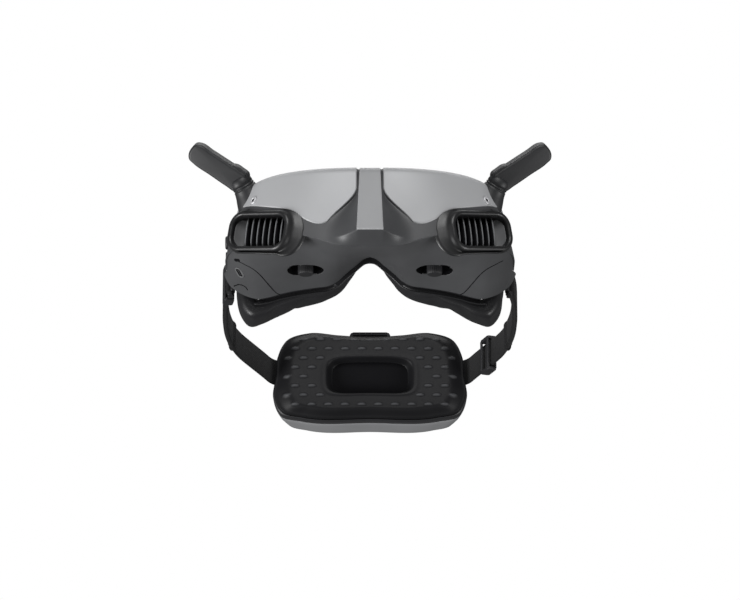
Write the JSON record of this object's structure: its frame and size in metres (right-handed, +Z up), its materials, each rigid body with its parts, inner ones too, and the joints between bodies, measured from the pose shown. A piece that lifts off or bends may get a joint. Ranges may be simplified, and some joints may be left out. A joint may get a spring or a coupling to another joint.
{
  "type": "fpv goggles",
  "caption": "Head-worn video goggles with folding antennas, side vents, adjustable eyepieces, a face cushion and a webbing headband with a rear battery pack.",
  "frame": {"origin": "centre of the face seat between the eyes, at the middle of the cushion's contact surface", "axes": "+X to the wearer's left, +Y from the goggles to the back of the head, +Z up"},
  "size_m": [0.2076, 0.3102, 0.0929],
  "materials": {
    "shell_dark": "satin",
    "shell_under": "satin",
    "panel_silver": "satin metallic paint",
    "ridge_grey": "satin",
    "bezel_dark": "semi-gloss",
    "grille_grey": "satin",
    "frame_black": "matt",
    "foam_black": "soft knitted cover over foam",
    "steel": "satin",
    "board_green": "board lacquer",
    "cooler_metal": "satin",
    "knob_black": "fine ribbed",
    "lens_glass": "coated",
    "display_black": "glossy",
    "optics_black": "matt",
    "antenna_grey": "satin",
    "brass": "plain",
    "webbing_black": "woven",
    "pad_black": "soft moulded",
    "pack_dark": "satin",
    "pack_grey": "satin",
    "cell_wrap": "shrink wrap"
  },
  "bodies": {
    "goggles": {"main_housing": "shell_dark", "lower_shell": "shell_under", "corner_cover_left": "shell_dark", "corner_cover_right": "shell_dark", "visor_panel_left": "panel_silver", "visor_panel_right": "panel_silver", "centre_ridge": "ridge_grey", "vent_bezel_left": "bezel_dark", "vent_bezel_right": "bezel_dark", "vent_grille_left": "grille_grey", "vent_grille_right": "grille_grey", "rear_frame": "frame_black", "face_foam": "foam_black", "visor_screws": "steel", "optics_bracket": "cooler_metal", "ipd_rails": "steel", "main_board": "board_green", "cooler": "cooler_metal", "usb_port": "steel", "audio_jack": "brass", "antenna_sockets": "brass", "antenna_knuckle_left": "antenna_grey", "antenna_knuckle_right": "antenna_grey", "antenna_pins": "steel", "strap_pivots": "steel"},
    "fan": {"fan_rotor": "optics_black"},
    "joystick_press": {"joystick_plunger": "optics_black"},
    "joystick_gimbal": {"joystick_ring": "optics_black"},
    "joystick": {"joystick_cap": "knob_black"},
    "back_key": {"back_button": "knob_black"},
    "headband": {"outrigger_left": "frame_black", "outrigger_right": "frame_black", "strap_left": "webbing_black", "strap_right": "webbing_black", "pack_pad": "pad_black", "pack_inner_shell": "pack_dark", "pack_outer_shell": "pack_grey", "battery_cells": "cell_wrap", "battery_board": "board_green", "charge_port": "steel", "pack_top_loop": "pack_dark", "pack_screws": "steel"},
    "adjuster_left": {"buckle_left": "frame_black"},
    "adjuster_right": {"buckle_right": "frame_black"},
    "power_key": {"power_button": "knob_black"},
    "carriage_left": {"lens_carriage_left": "optics_black", "display_left": "display_black"},
    "knob_left": {"diopter_knob_left": "knob_black"},
    "eyepiece_left": {"lens_barrel_left": "optics_black", "lens_left": "lens_glass"},
    "antenna_left": {"antenna_blade_left": "antenna_grey", "antenna_element_left": "brass"},
    "carriage_right": {"lens_carriage_right": "optics_black", "display_right": "display_black"},
    "knob_right": {"diopter_knob_right": "knob_black"},
    "eyepiece_right": {"lens_barrel_right": "optics_black", "lens_right": "lens_glass"},
    "antenna_right": {"antenna_blade_right": "antenna_grey", "antenna_element_right": "brass"}
  },
  "joints": [
    {"name": "ipd_left", "type": "slide", "parent": "goggles", "child": "carriage_left", "axis": [1, 0, 0], "range_m": [-0.004, 0.004]},
    {"name": "diopter_left", "type": "hinge", "parent": "carriage_left", "child": "knob_left", "pos_m": [0.0375, -0.041, -0.018], "axis": [0, 0, 1], "range_deg": [-137, 137]},
    {"name": "focus_left", "type": "slide", "parent": "carriage_left", "child": "eyepiece_left", "axis": [0, 1, 0], "range_m": [-0.0026, 0.0026]},
    {"name": "antenna_fold_left", "type": "hinge", "parent": "goggles", "child": "antenna_left", "pos_m": [0.0784, -0.04792, 0.03596], "axis": [-0.1799, 0.8077, 0.5615], "range_deg": [-20, 45]},
    {"name": "ipd_right", "type": "slide", "parent": "goggles", "child": "carriage_right", "axis": [1, 0, 0], "range_m": [-0.004, 0.004]},
    {"name": "diopter_right", "type": "hinge", "parent": "carriage_right", "child": "knob_right", "pos_m": [-0.0375, -0.041, -0.018], "axis": [0, 0, 1], "range_deg": [-137, 137]},
    {"name": "focus_right", "type": "slide", "parent": "carriage_right", "child": "eyepiece_right", "axis": [0, 1, 0], "range_m": [-0.0026, 0.0026]},
    {"name": "antenna_fold_right", "type": "hinge", "parent": "goggles", "child": "antenna_right", "pos_m": [-0.0784, -0.04792, 0.03596], "axis": [-0.1799, -0.8077, -0.5615], "range_deg": [-20, 45]},
    {"name": "fan_spin", "type": "hinge", "parent": "goggles", "child": "fan", "pos_m": [0, -0.0372, 0.026], "axis": [0, 0, 1], "continuous": true},
    {"name": "joystick_push", "type": "slide", "parent": "goggles", "child": "joystick_press", "axis": [1, 0, 0], "range_m": [0, 0.0008], "stiffness_N_per_m": 1200},
    {"name": "joystick_tilt_fore", "type": "hinge", "parent": "joystick_press", "child": "joystick_gimbal", "pos_m": [-0.0751, -0.031, 0.002], "axis": [0, 0, 1], "range_deg": [-3, 3], "stiffness_Nm_per_rad": 0.4},
    {"name": "joystick_tilt_up", "type": "hinge", "parent": "joystick_gimbal", "child": "joystick", "pos_m": [-0.0751, -0.031, 0.002], "axis": [0, 1, 0], "range_deg": [-3, 3], "stiffness_Nm_per_rad": 0.4},
    {"name": "back_push", "type": "slide", "parent": "goggles", "child": "back_key", "axis": [1, 0, 0], "range_m": [0, 0.0008], "stiffness_N_per_m": 1000},
    {"name": "headband_tilt", "type": "hinge", "parent": "goggles", "child": "headband", "pos_m": [0, -0.002, -0.006], "axis": [1, 0, 0], "range_deg": [0, 35]},
    {"name": "power_push", "type": "slide", "parent": "headband", "child": "power_key", "axis": [0, -1, 0], "range_m": [0, 0.0008], "stiffness_N_per_m": 1000},
    {"name": "adjuster_left_slide", "type": "slide", "parent": "headband", "child": "adjuster_left", "axis": [-0.3376, 0.9413, 0], "range_m": [-0.006, 0.008]},
    {"name": "adjuster_right_slide", "type": "slide", "parent": "headband", "child": "adjuster_right", "axis": [-0.1514, 0.9885, 0], "range_m": [-0.003, 0.006]}
  ],
  "couplings": [
    {"joint": "diopter_left", "follows": "focus_left", "rad_per_m": 909.09},
    {"joint": "diopter_right", "follows": "focus_right", "rad_per_m": 909.09}
  ]
}
